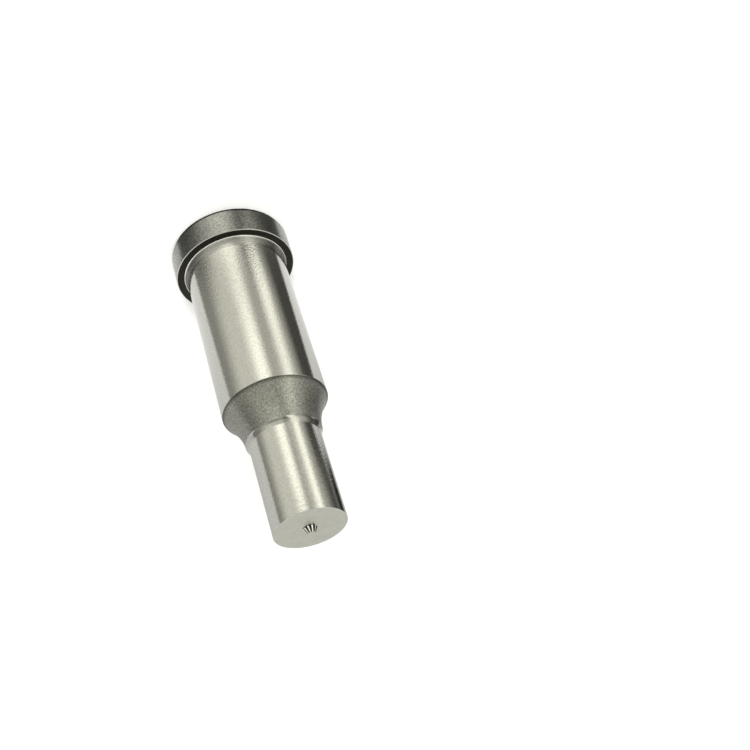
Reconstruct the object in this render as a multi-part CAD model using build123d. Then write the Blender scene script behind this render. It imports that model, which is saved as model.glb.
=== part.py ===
from build123d import *
from math import radians, sqrt, tan
import os

# A round headed punch for a turret press. It is turned in one piece from tool-steel bar,
# hardened, and then ground on the shank, on the tip and on the cutting face.
# It stands on its head: Z = 0 is the flat back of the head, and +Z runs along the axis
# to the cutting face. Every size is in millimetres.

# Lengths along the axis
body_length = 73.0  # back of the head to the cutting face
head_thickness = 6.7
shank_length = 38.0  # bearing face under the head to the shoulder edge
tip_length = 19.55  # straight ground length behind the cutting face

# Diameters
head_diameter = 26.3
shank_diameter = 22.0
tip_blank_diameter = 15.8  # the tip as it was turned, before grinding
tip_diameter = 14.6  # the ground tip, which sets the size of the hole

# Radii and edge breaks
sweep_radius = 12.0  # turned hollow sweep from the shoulder edge down to the tip blank
wheel_radius = 1.6  # corner of the grinding wheel, left as a fillet behind the tip
root_radius = 0.6  # fillet where the shank meets the head
back_chamfer_depth = 0.3  # in from the rim
back_chamfer_height = 0.7
rim_chamfer = 0.15

# Centre point, which is left standing on the cutting face and finds the punch mark
point_diameter = 2.8
point_angle = 60.0
point_height = 1.2

head_radius = head_diameter / 2
shank_radius = shank_diameter / 2
tip_blank_radius = tip_blank_diameter / 2
tip_radius = tip_diameter / 2
point_radius = point_diameter / 2
point_end_radius = point_radius - point_height * tan(radians(point_angle / 2))

shoulder_height = head_thickness + shank_length
tip_start_height = body_length - tip_length


def wheel_fillet_length():
    """Length along the axis from the ground tip to where the wheel's corner runs out."""
    grinding_depth = tip_blank_radius - tip_radius
    return sqrt(grinding_depth * (2 * wheel_radius - grinding_depth))


def head_outline():
    """Flat back, chamfered back edge, rim, and the bearing face under the head."""
    return Polyline(
        (0, 0),
        (head_radius - back_chamfer_depth, 0),
        (head_radius, back_chamfer_height),
        (head_radius, head_thickness - rim_chamfer),
        (head_radius - rim_chamfer, head_thickness),
        (shank_radius + root_radius, head_thickness),
    )


def shank_outline():
    """Root fillet, and the ground shank up to its crisp shoulder edge."""
    root_end = (shank_radius, head_thickness + root_radius)
    root = RadiusArc((shank_radius + root_radius, head_thickness), root_end, root_radius)
    return root + Line(root_end, (shank_radius, shoulder_height))


def sweep_outline():
    """Hollow turned sweep, and the step that the grinding wheel's corner cut into its foot."""
    shoulder_edge = (shank_radius, shoulder_height)
    wheel_runout = (tip_blank_radius, tip_start_height - wheel_fillet_length())
    tip_start = (tip_radius, tip_start_height)
    sweep = RadiusArc(shoulder_edge, wheel_runout, sweep_radius)
    return sweep + RadiusArc(wheel_runout, tip_start, wheel_radius)


def tip_outline():
    """Ground tip with a sharp cutting edge, and the flat cutting face."""
    return Polyline(
        (tip_radius, tip_start_height),
        (tip_radius, body_length),
        (point_radius, body_length),
    )


def point_outline():
    """Centre point: a cone with a blunt flat end."""
    return Polyline(
        (point_radius, body_length),
        (point_end_radius, body_length + point_height),
        (0, body_length + point_height),
        (0, 0),
    )


def make_punch():
    """The whole punch: its half outline, turned once round the axis."""
    outline = head_outline() + shank_outline() + sweep_outline() + tip_outline() + point_outline()
    return revolve(make_face(Plane.XZ * outline), Axis.Z)


punch = make_punch()
punch.label = "punch"

os.makedirs("parts", exist_ok=True)
export_step(punch, "parts/punch.step")
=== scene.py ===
from math import acos, atan2, cos, degrees, radians, sin

import bmesh
import bpy
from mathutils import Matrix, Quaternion, Vector


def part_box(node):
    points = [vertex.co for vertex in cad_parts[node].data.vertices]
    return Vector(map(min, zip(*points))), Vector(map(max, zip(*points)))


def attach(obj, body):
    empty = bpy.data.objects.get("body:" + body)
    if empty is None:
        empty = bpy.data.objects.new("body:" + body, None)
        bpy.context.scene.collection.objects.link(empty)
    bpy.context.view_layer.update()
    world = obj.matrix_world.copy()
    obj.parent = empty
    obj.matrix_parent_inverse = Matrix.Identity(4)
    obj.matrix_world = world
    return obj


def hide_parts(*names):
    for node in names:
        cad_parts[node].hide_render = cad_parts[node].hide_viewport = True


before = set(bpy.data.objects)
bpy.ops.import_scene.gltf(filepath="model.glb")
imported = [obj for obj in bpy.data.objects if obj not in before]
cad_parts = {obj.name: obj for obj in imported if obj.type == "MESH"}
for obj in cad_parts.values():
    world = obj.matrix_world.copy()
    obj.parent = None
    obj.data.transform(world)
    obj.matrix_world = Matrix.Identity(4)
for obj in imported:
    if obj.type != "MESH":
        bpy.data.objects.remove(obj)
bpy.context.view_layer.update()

# Punch
# One bar of tool steel, turned to shape and hardened, then ground on the shank, on the tip and on
# the cutting face. It stands on its head, with its axis upright, and its mesh grows ring by ring
# from the back of the head up to the centre point.
mm = 0.001
near = 0.001 * mm  # places closer than this are the same
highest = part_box("punch")[1]

head_radius = highest.x
head_thickness = 6.7 * mm
back_chamfer_depth = 0.3 * mm
back_chamfer_height = 0.7 * mm
rim_break = 0.14 * mm
root_radius = 0.4 * mm
flare_radius = 6.0 * mm  # the wheel's worn corner left a shallow flare beside the head
flare_angle = 17

shank_radius = 11.0 * mm
shoulder_height = 44.7 * mm
shoulder_break = 0.06 * mm

sweep_radius = 12.0 * mm
wheel_radius = 1.6 * mm  # corner of the wheel that ground the tip, left as a fillet behind it
tip_blank_radius = 7.9 * mm
tip_radius = 7.3 * mm
tip_start_height = 53.45 * mm
body_length = 73.0 * mm
cutting_break = 0.05 * mm

# Painted shade: a dark arc on the cutting face round the point's foot reaches out to this radius
painted_shade_radius = 1.7 * mm
point_radius = 1.4 * mm
point_end_radius = 0.707 * mm
point_end_break = 0.12 * mm
point_height = highest.z - body_length

segments = 240  # faces in each ring
hold = 0.12 * mm  # from a long face's end to the extra ring that keeps its shading straight


def arc(centre, radius, first, last, steps):
    """Points of an arc in the turned outline, as (radius, height). Angles are in degrees, 0 outwards."""
    turns = [radians(first + (last - first) * i / steps) for i in range(1, steps + 1)]
    return [(centre[0] + radius * cos(t), centre[1] + radius * sin(t)) for t in turns]


def arc_between(start, end, radius, steps):
    """A hollow arc from start to end, bulging towards the axis, without its first point."""
    middle = (Vector(start) + Vector(end)) / 2
    half = (Vector(end) - Vector(start)) / 2
    outward = Vector((half.y, -half.x)).normalized()
    centre = middle + outward * (radius**2 - half.length_squared) ** 0.5
    first = degrees((Vector(start) - centre).angle_signed(Vector((1, 0))))
    last = degrees((Vector(end) - centre).angle_signed(Vector((1, 0))))
    return arc(centre, radius, first % 360, last % 360, steps)


wheel_angle = acos(1 - (tip_blank_radius - tip_radius) / wheel_radius)
wheel_start_height = tip_start_height - wheel_radius * sin(wheel_angle)
wheel_centre = (tip_radius + wheel_radius, tip_start_height)
flare_depth = flare_radius * (1 - cos(radians(flare_angle)))
root_run = root_radius * cos(radians(flare_angle))
root_centre = (shank_radius + flare_depth + root_run, head_thickness + root_radius)
flare_end = root_centre[1] + (flare_radius - root_radius) * sin(radians(flare_angle))
flare_centre = (shank_radius + flare_radius, flare_end)

# Half the punch's outline, as (radius, height): the head, then its root fillet and the flare
outline = [(head_radius - back_chamfer_depth, 0), (head_radius, back_chamfer_height)]
outline += [(head_radius, back_chamfer_height + 2 * hold), (head_radius, head_thickness - 2 * hold)]
outline += [(head_radius, head_thickness), (root_centre[0], head_thickness)]
outline += arc(root_centre, root_radius, 270, 180 + flare_angle, 6)
outline += arc(flare_centre, flare_radius, 180 + flare_angle, 180, 6)
# The shank, the sweep and the wheel's fillet
outline += [(shank_radius, flare_end + hold), (shank_radius, shoulder_height - hold)]
outline += [(shank_radius, shoulder_height)]
outline += arc_between(outline[-1], (tip_blank_radius, wheel_start_height), sweep_radius, 24)
outline += arc(wheel_centre, wheel_radius, 180 + degrees(wheel_angle), 180, 12)
# The tip, the cutting face and the centre point, whose last ring is merged into one point
outline += [(tip_radius, tip_start_height + hold), (tip_radius, body_length - hold)]
outline += [(tip_radius, body_length), (painted_shade_radius, body_length), (point_radius, body_length)]
outline += [(point_end_radius, highest.z), (0.2 * mm, highest.z)]

bpy.ops.object.select_all(action="DESELECT")
bpy.ops.mesh.primitive_circle_add(
    vertices=segments, radius=outline[0][0], fill_type="NGON", location=(0, 0, 0)
)
punch = bpy.context.active_object
punch.name = punch.data.name = "punch_body"
bpy.ops.object.mode_set(mode="EDIT")
bpy.ops.mesh.select_all(action="SELECT")
for (old_radius, old_height), (radius, height) in zip(outline, outline[1:]):
    bpy.ops.mesh.extrude_region_move(TRANSFORM_OT_translate={"value": (0, 0, height - old_height)})
    scale = radius / old_radius
    bpy.ops.transform.resize(value=(scale, scale, 1), center_override=(0, 0, height))
bpy.ops.mesh.merge(type="CENTER")
bpy.ops.mesh.select_all(action="SELECT")
bpy.ops.mesh.normals_make_consistent(inside=False)


def select_ring(radius, height):
    """Selects only the edges that run round the punch at this radius and height."""
    bpy.ops.mesh.select_all(action="DESELECT")
    shape = bmesh.from_edit_mesh(punch.data)
    for edge in shape.edges:
        edge.select = all(
            abs(v.co.xy.length - radius) < near and abs(v.co.z - height) < near for v in edge.verts
        )
    shape.select_flush(True)
    bmesh.update_edit_mesh(punch.data)


# Broken edges: each one's radius, height, width and number of steps
broken_edges = (
    (head_radius - back_chamfer_depth, 0, 0.06 * mm, 2),
    (head_radius, back_chamfer_height, 0.08 * mm, 2),
    (head_radius, head_thickness, rim_break, 2),
    (shank_radius, shoulder_height, shoulder_break, 2),
    (tip_radius, body_length, cutting_break, 2),
    (point_end_radius, highest.z, point_end_break, 3),
)
bpy.ops.mesh.select_mode(type="EDGE")
for radius, height, width, steps in broken_edges:
    select_ring(radius, height)
    bpy.ops.mesh.bevel(
        offset=width, offset_type="OFFSET", segments=steps, affect="EDGES", clamp_overlap=True
    )

# Flutes of the centre point. Each pass pulls in a narrower strip of the point's base, so that a
# flute is hollow and runs out at the point's end. A pass gives half its strip's width, in degrees
# round the axis, and how much of its radius the strip keeps.
flute_count = 10
flute_turn = -1  # degrees from the camera's side to the middle of a flute
flute_passes = ((13.6, 0.97), (10.6, 0.955), (7.6, 0.95), (4.6, 0.955), (1.6, 0.97))


def turn_from_flute(point):
    """How far round the axis a point lies from the middle of its nearest flute, in degrees."""
    pitch = 360 / flute_count
    turn = degrees(atan2(point.x, -point.y)) - flute_turn
    return abs((turn + pitch / 2) % pitch - pitch / 2)


bpy.ops.mesh.select_mode(type="VERT")
for half_width, kept in flute_passes:
    bpy.ops.mesh.select_all(action="DESELECT")
    shape = bmesh.from_edit_mesh(punch.data)
    for v in shape.verts:
        on_base = abs(v.co.z - body_length) < near and v.co.xy.length < point_radius + near
        v.select = on_base and turn_from_flute(v.co) < half_width
    shape.select_flush(True)
    bmesh.update_edit_mesh(punch.data)
    bpy.ops.transform.resize(value=(kept, kept, 1), center_override=(0, 0, body_length))
bpy.ops.object.mode_set(mode="OBJECT")
bpy.ops.object.shade_smooth_by_angle(angle=radians(20))

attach(punch, "root")
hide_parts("punch")


def linear(hex_colour):
    """An sRGB hex colour as a linear colour with alpha, as a shader takes it."""
    parts = [int(hex_colour[i : i + 2], 16) / 255 for i in (1, 3, 5)]
    return [c / 12.92 if c <= 0.04045 else ((c + 0.055) / 1.055) ** 2.4 for c in parts] + [1.0]


def add_node(tree, kind, inputs=None, **settings):
    """Adds one node. inputs gives each socket a value, or another node's output to link it to."""
    made = tree.nodes.new(kind)
    for name, value in settings.items():
        setattr(made, name, value)
    for socket, value in (inputs or {}).items():
        if isinstance(value, bpy.types.NodeSocket):
            tree.links.new(value, made.inputs[socket])
        else:
            made.inputs[socket].default_value = value
    return made


def new_material(name):
    """A material with only its output node."""
    material = bpy.data.materials.new(name)
    material.use_nodes = True
    material.node_tree.nodes.clear()
    output = add_node(material.node_tree, "ShaderNodeOutputMaterial")
    return material, material.node_tree, output


# Ground tool steel: the shank, the tip and the wheel's fillet were ground while the punch turned,
# so very fine lines run round it. It mirrors the room in crisp upright bands with grainy edges.
# Beside the head, where the wheel ran out, it is rougher, and duller at the punch's sides and back.
# The wheel's real lines and grit marks are some 0.02 mm apart, too fine to show, so both patterns
# are drawn more than ten times coarser.
ground_steel, tree, output = new_material("ground_tool_steel")
lines_per_mm = 3.5
line_changes_per_mm = 0.06  # how often a line changes on its way round
grains_per_mm = 2.3
place = add_node(tree, "ShaderNodeTexCoord").outputs["Object"]
line_scale = (line_changes_per_mm / mm, line_changes_per_mm / mm, lines_per_mm / mm)
lines_place = add_node(tree, "ShaderNodeMapping", {"Vector": place, "Scale": line_scale})
lines = add_node(
    tree, "ShaderNodeTexNoise", {"Vector": lines_place.outputs[0], "Scale": 1.0, "Detail": 3.0}
)
grain = add_node(
    tree, "ShaderNodeTexNoise", {"Vector": place, "Scale": grains_per_mm / mm, "Detail": 3.0}
)
line_bump = add_node(
    tree, "ShaderNodeBump", {"Height": lines.outputs["Fac"], "Strength": 1.0, "Distance": 0.001 * mm}
)
grain_bump = add_node(
    tree,
    "ShaderNodeBump",
    {
        "Height": grain.outputs["Fac"],
        "Strength": 1.0,
        "Distance": 0.017 * mm,
        "Normal": line_bump.outputs[0],
    },
)
split_place = add_node(tree, "ShaderNodeSeparateXYZ", {0: place})
height = split_place.outputs["Z"]
ground_roughness = add_node(
    tree, "ShaderNodeMapRange", {"Value": lines.outputs["Fac"], "To Min": 0.07, "To Max": 0.11}
)
roughness = add_node(
    tree,
    "ShaderNodeMapRange",
    {
        "Value": height,
        "From Min": 7.8 * mm,
        "From Max": 9.8 * mm,
        "To Min": 0.3,
        "To Max": ground_roughness.outputs[0],
    },
)
side_bareness = add_node(
    tree,
    "ShaderNodeMapRange",
    {
        "Value": split_place.outputs["Y"],
        "From Min": -6.0 * mm,
        "From Max": -4.4 * mm,
        "To Min": 0.97,
        "To Max": 0.8,
    },
)
bareness = add_node(
    tree,
    "ShaderNodeMapRange",
    {
        "Value": height,
        "From Min": 8.6 * mm,
        "From Max": 10.6 * mm,
        "To Min": side_bareness.outputs[0],
        "To Max": 1.0,
    },
)
tone_range = add_node(
    tree, "ShaderNodeMapRange", {"Value": grain.outputs["Fac"], "From Min": 0.3, "From Max": 0.7}
)
tone = add_node(
    tree,
    "ShaderNodeMix",
    {"Factor": tone_range.outputs[0], 6: linear("#C1C0B9"), 7: linear("#D1D0C9")},
    data_type="RGBA",
)
tangent = add_node(tree, "ShaderNodeTangent", direction_type="RADIAL", axis="Z")
surface = add_node(
    tree,
    "ShaderNodeBsdfPrincipled",
    {
        "Base Color": tone.outputs[2],
        "Metallic": bareness.outputs[0],
        "Roughness": roughness.outputs[0],
        "Anisotropic": 0.3,
        "Anisotropic Rotation": 0.25,
        "Normal": grain_bump.outputs[0],
        "Tangent": tangent.outputs[0],
    },
)
tree.links.new(surface.outputs[0], output.inputs["Surface"])

# Flat ground steel: the cutting face and the point's end were ground with the flat of a wheel, so
# they are an even satin grey with faint soft clouds. The grit marks are again drawn coarser.
face_steel, tree, output = new_material("flat_ground_tool_steel")
clouds_per_mm = 0.26
grit_marks_per_mm = 2.6
place = add_node(tree, "ShaderNodeTexCoord").outputs["Object"]
clouds = add_node(
    tree,
    "ShaderNodeTexNoise",
    {"Vector": place, "Scale": clouds_per_mm / mm, "Detail": 7.0, "Roughness": 0.95},
)
tone = add_node(
    tree,
    "ShaderNodeMix",
    {"Factor": clouds.outputs["Fac"], 6: linear("#A6A69D"), 7: linear("#E1E1D6")},
    data_type="RGBA",
)
grain = add_node(
    tree, "ShaderNodeTexNoise", {"Vector": place, "Scale": grit_marks_per_mm / mm, "Detail": 2.0}
)
bump = add_node(
    tree, "ShaderNodeBump", {"Height": grain.outputs["Fac"], "Strength": 1.0, "Distance": 0.01 * mm}
)
surface = add_node(
    tree,
    "ShaderNodeBsdfPrincipled",
    {"Base Color": tone.outputs[2], "Metallic": 1.0, "Roughness": 0.45, "Normal": bump.outputs[0]},
)
tree.links.new(surface.outputs[0], output.inputs["Surface"])

# Turned and hardened steel: the sweep kept its turned skin, which hardening left satin and grainy.
# The turning lines run round it and blur what it mirrors along the axis. It is darkest at its edge,
# and it is painted darker towards +X: painted shade for its darker reflection there. Its real grain
# is finer than the one drawn.
sweep_steel, tree, output = new_material("hardened_turned_steel")
grains_per_mm = 3.6
place = add_node(tree, "ShaderNodeTexCoord").outputs["Object"]
grain = add_node(
    tree, "ShaderNodeTexNoise", {"Vector": place, "Scale": grains_per_mm / mm, "Detail": 2.0}
)
bump = add_node(
    tree, "ShaderNodeBump", {"Height": grain.outputs["Fac"], "Strength": 1.0, "Distance": 0.02 * mm}
)
tone_range = add_node(
    tree, "ShaderNodeMapRange", {"Value": grain.outputs["Fac"], "From Min": 0.32, "From Max": 0.68}
)
tone = add_node(
    tree,
    "ShaderNodeMix",
    {"Factor": tone_range.outputs[0], 6: linear("#868680"), 7: linear("#C3C3B9")},
    data_type="RGBA",
)
split_place = add_node(tree, "ShaderNodeSeparateXYZ", {0: place})
# Painted shade: the sweep's colour darkens towards +X, standing in for the darker reflection there.
side_shade = add_node(
    tree,
    "ShaderNodeMapRange",
    {
        "Value": split_place.outputs["X"],
        "From Min": 0.0,
        "From Max": 6.0 * mm,
        "To Min": 1.0,
        "To Max": 0.82,
    },
)
edge_shade = add_node(
    tree,
    "ShaderNodeMapRange",
    {
        "Value": split_place.outputs["Z"],
        "From Min": shoulder_height,
        "From Max": shoulder_height + 0.7 * mm,
        "To Min": 0.22,
        "To Max": 1.0,
    },
)
shade = add_node(
    tree, "ShaderNodeMath", {0: edge_shade.outputs[0], 1: side_shade.outputs[0]}, operation="MULTIPLY"
)
shaded = add_node(
    tree,
    "ShaderNodeMix",
    {"Factor": 1.0, 6: tone.outputs[2], 7: shade.outputs[0]},
    data_type="RGBA",
    blend_type="MULTIPLY",
)
tangent = add_node(tree, "ShaderNodeTangent", direction_type="RADIAL", axis="Z")
surface = add_node(
    tree,
    "ShaderNodeBsdfPrincipled",
    {
        "Base Color": shaded.outputs[2],
        "Metallic": 0.95,
        "Roughness": 0.42,
        "Anisotropic": 0.75,
        "Anisotropic Rotation": 0.25,
        "Normal": bump.outputs[0],
        "Tangent": tangent.outputs[0],
    },
)
tree.links.new(surface.outputs[0], output.inputs["Surface"])

# Heat-scaled steel: the head's rim still has the dark skin of the heat treatment. It is mottled,
# in spots about half a millimetre across, and still mirrors the room in soft upright bands.
rim_steel, tree, output = new_material("heat_scaled_steel")
spots_per_mm = 2.3
place = add_node(tree, "ShaderNodeTexCoord").outputs["Object"]
mottle = add_node(
    tree,
    "ShaderNodeTexNoise",
    {"Vector": place, "Scale": spots_per_mm / mm, "Detail": 3.0, "Roughness": 0.6},
)
bump = add_node(
    tree, "ShaderNodeBump", {"Height": mottle.outputs["Fac"], "Strength": 1.0, "Distance": 0.006 * mm}
)
tone_range = add_node(
    tree, "ShaderNodeMapRange", {"Value": mottle.outputs["Fac"], "From Min": 0.3, "From Max": 0.66}
)
tone = add_node(
    tree,
    "ShaderNodeMix",
    {"Factor": tone_range.outputs[0], 6: linear("#737370"), 7: linear("#A8A8A3")},
    data_type="RGBA",
)
surface = add_node(
    tree,
    "ShaderNodeBsdfPrincipled",
    {"Base Color": tone.outputs[2], "Metallic": 1.0, "Roughness": 0.22, "Normal": bump.outputs[0]},
)
tree.links.new(surface.outputs[0], output.inputs["Surface"])

# Black oxide steel: the underside and the back of the head and the flutes of the centre point were
# out of the wheel's reach and are almost black with oxide and grime, in slightly uneven patches.
# The same dark steel also paints shade: an arc round the point's foot, and the head's back chamfer.
oxide_and_painted_shade, tree, output = new_material("black_oxide_and_painted_shade_steel")
patches_per_mm = 1.5
place = add_node(tree, "ShaderNodeTexCoord").outputs["Object"]
mottle = add_node(
    tree, "ShaderNodeTexNoise", {"Vector": place, "Scale": patches_per_mm / mm, "Detail": 3.0}
)
tone = add_node(
    tree,
    "ShaderNodeMix",
    {"Factor": mottle.outputs["Fac"], 6: linear("#2A2926"), 7: linear("#46443E")},
    data_type="RGBA",
)
surface = add_node(
    tree, "ShaderNodeBsdfPrincipled", {"Base Color": tone.outputs[2], "Metallic": 1.0, "Roughness": 0.6}
)
tree.links.new(surface.outputs[0], output.inputs["Surface"])

# Painted highlight steel: the ridges of the centre point and the foot of the root fillet get a
# near-white copy of the steel, painted light that shows them as thin bright lines.
painted_highlight_steel, tree, output = new_material("painted_highlight_turned_steel")
surface = add_node(
    tree,
    "ShaderNodeBsdfPrincipled",
    {"Base Color": linear("#EEEEE6"), "Metallic": 0.8, "Roughness": 0.3},
)
tree.links.new(surface.outputs[0], output.inputs["Surface"])

root_oxide_height = 0.12 * root_radius  # the oxide reaches this far up the root fillet
# the foot of the root fillet is painted as a highlight from the oxide up to this height
root_highlight_height = 0.35 * root_radius
point_end_height = body_length + 0.9 * point_height  # from here on the point is ground flat
painted_shade_start = -40  # painted shade lies in an arc against the point's foot, from this many degrees round the axis
painted_shade_end = 60
dark_flute_width = 10.3  # half of a flute's dark strip, in degrees


def finish_at(middle):
    """The finish of the face with this middle. What no line names is ground, as is the rim's broken edge."""
    radius = middle.xy.length
    height = middle.z
    inside_rim = radius < head_radius - rim_break
    if back_chamfer_height < height < head_thickness - rim_break:
        return rim_steel
    # The back face is oxide. On the back chamfer the same dark steel is also painted shade: a dark line
    # along the head's back edge.
    if height < back_chamfer_height:
        return oxide_and_painted_shade
    if inside_rim and height < head_thickness + root_oxide_height:
        return oxide_and_painted_shade
    # Painted highlight: a thin bright line along the foot of the root fillet.
    if inside_rim and height < head_thickness + root_highlight_height:
        return painted_highlight_steel
    if shoulder_height + shoulder_break < height < wheel_start_height:
        return sweep_steel
    if abs(height - body_length) < near and radius < tip_radius - cutting_break:
        # A dark arc of painted shade round the point's foot, on the camera's side, gets the dark oxide
        # steel.
        turn = degrees(atan2(middle.x, -middle.y))
        has_painted_shade = radius < painted_shade_radius and painted_shade_start < turn < painted_shade_end
        return oxide_and_painted_shade if has_painted_shade else face_steel
    if height > point_end_height:
        return face_steel
    # Between the dark oxide flutes, the ridges of the centre point get painted highlight.
    if height > body_length + near:
        return oxide_and_painted_shade if turn_from_flute(middle) < dark_flute_width else painted_highlight_steel
    return ground_steel


finishes = [ground_steel, face_steel, sweep_steel, rim_steel, oxide_and_painted_shade, painted_highlight_steel]
for finish in finishes:
    punch.data.materials.append(finish)
for face in punch.data.polygons:
    face.material_index = finishes.index(finish_at(face.center))

# Table
# A plain white table, which the punch stands on. It shows the punch's soft shadow. Steel doesn't
# mirror it: the studio below stands in for it there.
bpy.ops.mesh.primitive_plane_add(size=3.0, location=(0, 0, 0))
table = bpy.context.active_object
table.name = "table"
table.visible_glossy = False
white_table, tree, output = new_material("white_table")
camera_ray = add_node(tree, "ShaderNodeLightPath").outputs["Is Camera Ray"]
paint = add_node(tree, "ShaderNodeBsdfDiffuse", {"Color": linear("#F0F0EF")})
lift_strength = add_node(tree, "ShaderNodeMath", {0: camera_ray, 1: 0.07}, operation="MULTIPLY")
lift = add_node(tree, "ShaderNodeEmission", {"Strength": lift_strength.outputs[0]})
both = add_node(tree, "ShaderNodeAddShader", {0: paint.outputs[0], 1: lift.outputs[0]})
tree.links.new(both.outputs[0], output.inputs["Surface"])
table.data.materials.append(white_table)

# Studio
# A white tent round the punch, with soft windows and dark gaps in it, which the steel mirrors as
# upright bands. It is painted on the world, in degrees of azimuth, from the camera's side towards
# +X, and of elevation. Each panel covers what comes before it in its list.
far = 400  # past every azimuth and elevation, so a panel has no edge there
front_panels = [
    # name, edges in azimuth, their softness, edges in elevation, their softness, level
    ("front wall", (-far, far), (1, 1), (-far, far), (1, 1), 0.61),
    ("foot of the front wall", (-far, far), (1, 1), (-far, -39.6), (1, 3), 0.55),
    ("left wall", (22, far), (20, 1), (-far, far), (1, 1), 0.87),
    ("foot of the left wall", (22, far), (20, 1), (-far, -39.6), (1, 3), 0.81),
    ("grey gap", (68, far), (38, 1), (-far, far), (1, 1), 0.36),
    ("dark gap", (-far, -75.3), (1, 26), (-far, far), (1, 1), 0.09),
    ("upper front wall", (-far, -50), (1, 10), (-29.8, far), (1.2, 1), 0.60),
    ("upper dark gap", (-far, -83), (1, 36), (-29.8, far), (1.2, 1), 0.10),
    ("bright stripe", (-46, -22), (10, 8), (-35, -24), (5, 4), 0.76),
    ("side window", (-59, -39), (20, 22), (-43.5, -34.5), (6, 4), 1.48),
    ("foot of the side window", (-61, -40), (20, 22), (-43.5, -39.5), (6, 3), 1.58),
    ("bright side window", (-57, -38), (20, 22), (-34.5, -23), (4, 5), 1.72),
    ("front window", (-8.5, 19), (20, 27), (-39.6, -26.5), (2, 4), 1.72),
    ("foot of the front window", (-9, 18), (20, 27), (-far, -39.6), (1, 2), 1.22),
    ("low wall", (-far, far), (1, 1), (-far, -43), (1, 1.6), 0.35),
    ("low right wall", (-84, -26), (10, 12), (-far, -43), (1, 1.6), 0.02),
    ("low window", (-20, 37), (34, 58), (-far, -43), (1, 1.6), 1.74),
    ("low left gap", (55, far), (30, 1), (-far, -42.4), (1, 1.6), 0.03),
    ("low right gap", (-far, -60), (1, 26), (-far, -43), (1, 1.6), 0.15),
    ("upper middle wall", (-14, 30), (14, 20), (-23, far), (6, 1), 0.76),
    ("upper left wall", (26, 66), (30, 44), (-21, far), (8, 1), 0.80),
    ("upper left gap", (54, far), (40, 1), (-21, far), (8, 1), 0.27),
    ("upper side window", (-56, -28), (24, 18), (-23, far), (6, 1), 1.35),
    ("upper shade", (-28, -9), (16, 12), (-23, far), (8, 1), 0.46),
    ("high shade", (-30, -8), (14, 14), (22, far), (16, 1), 0.28),
    ("high wall", (-6, 48), (12, 24), (26, far), (20, 1), 0.42),
    ("high left gap", (62, 80), (20, 16), (24, far), (20, 1), 0.38),
    ("shade under the punch", (-far, far), (1, 1), (-far, -56), (1, 10), 0.06),
    ("table in front", (-22, 20), (24, 24), (-far, -56), (1, 10), 0.80),
    ("ceiling", (-far, far), (1, 1), (64, far), (12, 1), 0.80),
]
back_panels = [
    ("low back wall", (-far, far), (1, 1), (-far, far), (1, 1), 0.95),
    ("foot of the right wall", (-far, -100), (1, 10), (-far, -42), (1, 1.6), 0.84),
    ("back wall", (-far, far), (1, 1), (-36, far), (8, 1), 0.82),
    ("far right wall", (-far, -135), (1, 50), (-35, far), (8, 1), 0.53),
    ("far left wall", (135, far), (50, 1), (-35, far), (8, 1), 0.62),
    ("upper back wall", (-far, far), (1, 1), (-20, far), (12, 1), 0.71),
    ("left pillar", (84, 122), (8, 20), (-26, 20), (6, 12), 0.70),
    ("upper right wall", (-far, -148), (1, 16), (-23.5, far), (5, 1), 1.05),
    ("left ceiling window", (100, 150), (14, 14), (34, far), (8, 1), 1.60),
    ("right ceiling window", (-150, -112), (14, 10), (34, far), (8, 1), 1.60),
    ("bright right wall behind", (-far, -155), (1, 30), (2, far), (16, 1), 0.82),
    ("bright left wall behind", (155, far), (30, 1), (2, far), (16, 1), 0.82),
    ("dark corner", (-147, 0), (9, 1), (-30.6, -24), (0.9, 6), 0.19),
    ("upper corner", (-156, 0), (24, 1), (-25, 22), (6, 20), 0.46),
    ("foot of the dark corner", (-116, 0), (6, 1), (-31.8, -29), (0.9, 2), 0.17),
    ("black bar", (-143.5, -122), (7, 14), (-30.2, -24), (1.0, 8), 0.02),
    ("upper black bar", (-130, -108), (10, 8), (-26, 26), (8, 12), 0.07),
    ("shade under the punch", (-far, far), (1, 1), (-far, -56), (1, 10), 0.06),
    ("ceiling", (-far, far), (1, 1), (64, far), (12, 1), 0.80),
]
front_tint = (1.0, 0.99, 0.90)
back_tint = (1.0, 1.0, 0.98)

world = bpy.data.worlds.new("studio")
bpy.context.scene.world = world
world.use_nodes = True
tree = world.node_tree
tree.nodes.clear()
direction = add_node(
    tree, "ShaderNodeSeparateXYZ", {0: add_node(tree, "ShaderNodeTexCoord").outputs["Generated"]}
)
backward = add_node(tree, "ShaderNodeMath", {0: direction.outputs["Y"], 1: -1.0}, operation="MULTIPLY")
azimuth_radians = add_node(
    tree, "ShaderNodeMath", {0: direction.outputs["X"], 1: backward.outputs[0]}, operation="ARCTAN2"
)
to_azimuth = add_node(tree, "ShaderNodeMath", {0: azimuth_radians.outputs[0]}, operation="DEGREES")
azimuth = to_azimuth.outputs[0]
elevation_radians = add_node(tree, "ShaderNodeMath", {0: direction.outputs["Z"]}, operation="ARCSINE")
to_elevation = add_node(tree, "ShaderNodeMath", {0: elevation_radians.outputs[0]}, operation="DEGREES")
elevation = to_elevation.outputs[0]


def soft_edge(value, middle, softness, rising):
    """A smooth step of softness degrees round middle, up if it is rising, or else down."""
    ends = (0.0, 1.0) if rising else (1.0, 0.0)
    step = add_node(
        tree,
        "ShaderNodeMapRange",
        {
            "Value": value,
            "From Min": middle - softness / 2,
            "From Max": middle + softness / 2,
            "To Min": ends[0],
            "To Max": ends[1],
        },
        interpolation_type="SMOOTHSTEP",
    )
    return step.outputs[0]


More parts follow.
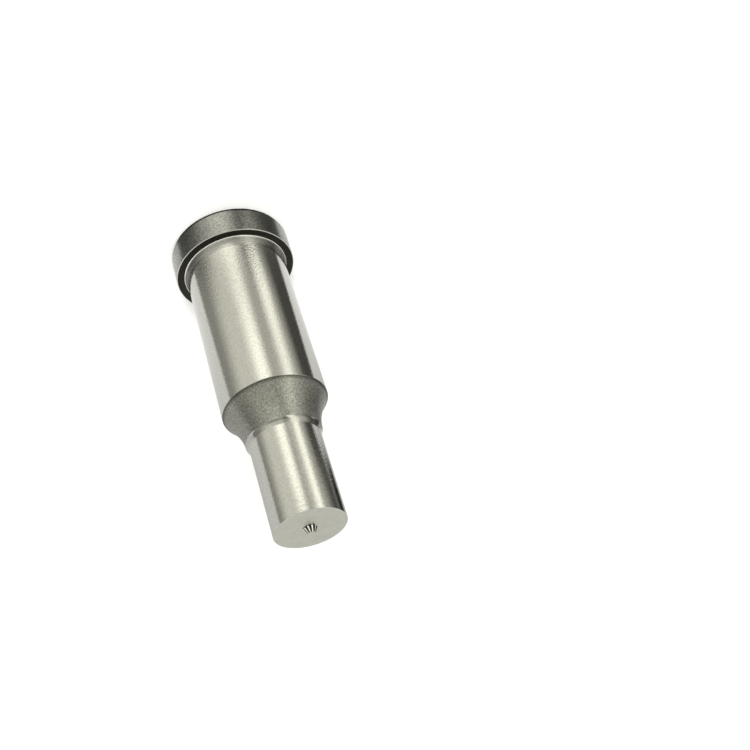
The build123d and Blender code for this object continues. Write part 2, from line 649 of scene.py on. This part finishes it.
def lay_panels(panels, tint):
    """The colour of a row of panels, each laid over the ones before it."""
    radiance = None
    for name, (left, right), (left_soft, right_soft), (low, high), (low_soft, high_soft), level in panels:
        mask = None
        for value, middle, softness, rising in (
            (azimuth, left, left_soft, True),
            (azimuth, right, right_soft, False),
            (elevation, low, low_soft, True),
            (elevation, high, high_soft, False),
        ):
            if abs(middle) == far:
                continue
            step = soft_edge(value, middle, softness, rising)
            if mask is None:
                mask = step
            else:
                both = add_node(tree, "ShaderNodeMath", {0: mask, 1: step}, operation="MULTIPLY")
                mask = both.outputs[0]
        colour = [level * part for part in tint] + [1.0]
        below = colour if radiance is None else radiance
        covered = 1.0 if mask is None else mask
        mixed = add_node(
            tree, "ShaderNodeMix", {"Factor": covered, 6: below, 7: colour}, data_type="RGBA"
        )
        mixed.label = name
        radiance = mixed.outputs[2]
    return radiance


# The front panels end at two upright corners, which spread apart below the punch's own height.
corner_spread = 1.45


def corner(edge, softness, start, outward):
    """Where the front panels are, inside one corner, which moves outward below the start elevation."""
    below = add_node(tree, "ShaderNodeMath", {0: start, 1: elevation}, operation="SUBTRACT")
    drop = add_node(tree, "ShaderNodeMath", {0: below.outputs[0], 1: 0.0}, operation="MAXIMUM")
    shift = add_node(
        tree, "ShaderNodeMath", {0: drop.outputs[0], 1: -outward * corner_spread}, operation="MULTIPLY"
    )
    shifted = add_node(tree, "ShaderNodeMath", {0: azimuth, 1: shift.outputs[0]}, operation="ADD")
    return soft_edge(shifted.outputs[0], edge, softness, outward < 0)


in_front = add_node(
    tree,
    "ShaderNodeMath",
    {0: corner(-108.5, 9, -33, -1), 1: corner(91.3, 8, -31, 1)},
    operation="MULTIPLY",
)
room = add_node(
    tree,
    "ShaderNodeMix",
    {
        "Factor": in_front.outputs[0],
        6: lay_panels(back_panels, back_tint),
        7: lay_panels(front_panels, front_tint),
    },
    data_type="RGBA",
)
steel_sees = add_node(tree, "ShaderNodeBackground", {"Color": room.outputs[2], "Strength": 1.0})
camera_sees = add_node(tree, "ShaderNodeBackground", {"Color": (1.0, 1.0, 1.0, 1.0), "Strength": 1.0})
seen = add_node(
    tree,
    "ShaderNodeMixShader",
    {
        0: add_node(tree, "ShaderNodeLightPath").outputs["Is Camera Ray"],
        1: steel_sees.outputs[0],
        2: camera_sees.outputs[0],
    },
)
add_node(tree, "ShaderNodeOutputWorld", {"Surface": seen.outputs[0]})

# Soft lamp beside the camera: it throws the soft shadow on the table behind the punch.
lamp_data = bpy.data.lights.new("soft_lamp", "SUN")
lamp_data.energy = 4.6
lamp_data.angle = radians(18)
lamp = bpy.data.objects.new("soft_lamp", lamp_data)
bpy.context.scene.collection.objects.link(lamp)
lamp_azimuth = radians(-0.6)
lamp_elevation = radians(24)
towards_lamp = Vector(
    (sin(lamp_azimuth) * cos(lamp_elevation), -cos(lamp_azimuth) * cos(lamp_elevation), sin(lamp_elevation))
)
lamp.rotation_mode = "QUATERNION"
lamp.rotation_quaternion = towards_lamp.to_track_quat("Z", "Y")
lamp.visible_glossy = False

# Camera
# It looks down at the punch from in front, and is rolled until the head is at the top.
camera_place = Vector((0, -179.807, 164.779)) * mm
look_azimuth = radians(-6.778)
look_down = radians(33.769)
camera_roll = radians(-160.011)
look = Vector((sin(look_azimuth) * cos(look_down), cos(look_azimuth) * cos(look_down), -sin(look_down)))
camera_data = bpy.data.cameras.new("camera")
camera_data.lens = 50.93
camera_data.sensor_width = 36.0
camera = bpy.data.objects.new("camera", camera_data)
bpy.context.scene.collection.objects.link(camera)
camera.location = camera_place
camera.rotation_mode = "QUATERNION"
camera.rotation_quaternion = Quaternion(look, camera_roll) @ look.to_track_quat("-Z", "Y")
camera_data.clip_start = 0.01
camera_data.clip_end = 10.0
bpy.context.scene.camera = camera
bpy.context.scene.view_settings.view_transform = "Standard"
